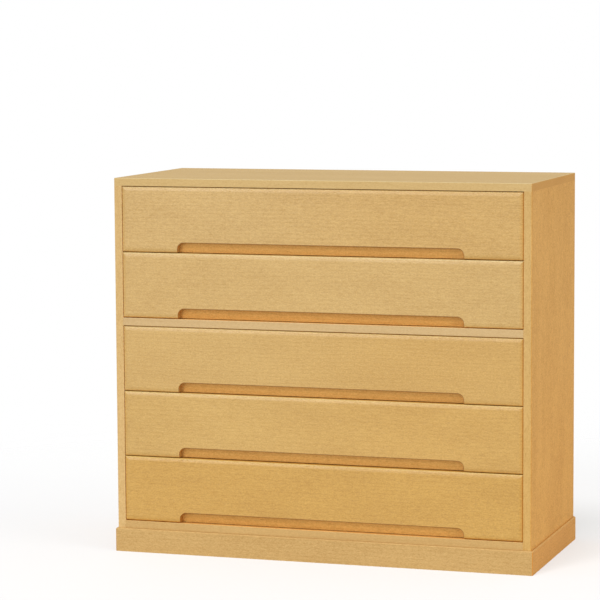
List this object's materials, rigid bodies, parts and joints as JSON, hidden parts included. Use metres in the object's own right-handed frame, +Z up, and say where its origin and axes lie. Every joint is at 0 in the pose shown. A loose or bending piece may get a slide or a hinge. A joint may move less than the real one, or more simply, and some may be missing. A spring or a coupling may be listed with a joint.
{
  "type": "clothing chest",
  "caption": "Low wooden clothing chest on a plinth, with wide inset drawers that are pulled out by a long finger notch in each front's lower edge.",
  "frame": {"origin": "on the floor, under the middle of the chest's outline", "axes": "+X to the right of someone who stands before the chest, -Y out of the drawer fronts, +Z up"},
  "size_m": [1, 0.445, 0.875],
  "materials": {
    "kiri_case": "satin, planed and rubbed with wax, fine straight grain",
    "kiri_front": "satin, planed and rubbed with wax, fine straight horizontal grain",
    "kiri_inner": "bare planed wood, matte",
    "hardwood_dowel": "turned, matte",
    "zinc_screw": "zinc plated"
  },
  "bodies": {
    "case": {"top_board": "kiri_case", "side_left": "kiri_case", "side_right": "kiri_case", "mid_shelf": "kiri_case", "bottom_board": "kiri_case", "back_panel_upper": "kiri_inner", "back_panel_lower": "kiri_inner", "plinth_front": "kiri_case", "plinth_back": "kiri_case", "plinth_left": "kiri_case", "plinth_right": "kiri_case", "plinth_blocks": "kiri_inner", "runner_1_left": "kiri_inner", "runner_1_right": "kiri_inner", "runner_3_left": "kiri_inner", "runner_3_right": "kiri_inner", "runner_4_left": "kiri_inner", "runner_4_right": "kiri_inner", "drawer_stops": "kiri_inner", "case_dowels": "hardwood_dowel", "back_pins": "zinc_screw", "runner_screws": "zinc_screw", "plinth_screws": "zinc_screw"},
    "drawer_1": {"drawer_1_front": "kiri_front", "drawer_1_inner_front": "kiri_inner", "drawer_1_left": "kiri_inner", "drawer_1_right": "kiri_inner", "drawer_1_back": "kiri_inner", "drawer_1_bottom": "kiri_inner", "drawer_1_screws": "zinc_screw"},
    "drawer_2": {"drawer_2_front": "kiri_front", "drawer_2_inner_front": "kiri_inner", "drawer_2_left": "kiri_inner", "drawer_2_right": "kiri_inner", "drawer_2_back": "kiri_inner", "drawer_2_bottom": "kiri_inner", "drawer_2_screws": "zinc_screw"},
    "drawer_3": {"drawer_3_front": "kiri_front", "drawer_3_inner_front": "kiri_inner", "drawer_3_left": "kiri_inner", "drawer_3_right": "kiri_inner", "drawer_3_back": "kiri_inner", "drawer_3_bottom": "kiri_inner", "drawer_3_screws": "zinc_screw"},
    "drawer_4": {"drawer_4_front": "kiri_front", "drawer_4_inner_front": "kiri_inner", "drawer_4_left": "kiri_inner", "drawer_4_right": "kiri_inner", "drawer_4_back": "kiri_inner", "drawer_4_bottom": "kiri_inner", "drawer_4_screws": "zinc_screw"},
    "drawer_5": {"drawer_5_front": "kiri_front", "drawer_5_inner_front": "kiri_inner", "drawer_5_left": "kiri_inner", "drawer_5_right": "kiri_inner", "drawer_5_back": "kiri_inner", "drawer_5_bottom": "kiri_inner", "drawer_5_screws": "zinc_screw"}
  },
  "joints": [
    {"name": "drawer_1_slide", "type": "slide", "parent": "case", "child": "drawer_1", "axis": [0, -1, 0], "range_m": [0, 0.32]},
    {"name": "drawer_2_slide", "type": "slide", "parent": "case", "child": "drawer_2", "axis": [0, -1, 0], "range_m": [0, 0.32]},
    {"name": "drawer_3_slide", "type": "slide", "parent": "case", "child": "drawer_3", "axis": [0, -1, 0], "range_m": [0, 0.32]},
    {"name": "drawer_4_slide", "type": "slide", "parent": "case", "child": "drawer_4", "axis": [0, -1, 0], "range_m": [0, 0.32]},
    {"name": "drawer_5_slide", "type": "slide", "parent": "case", "child": "drawer_5", "axis": [0, -1, 0], "range_m": [0, 0.32]}
  ]
}
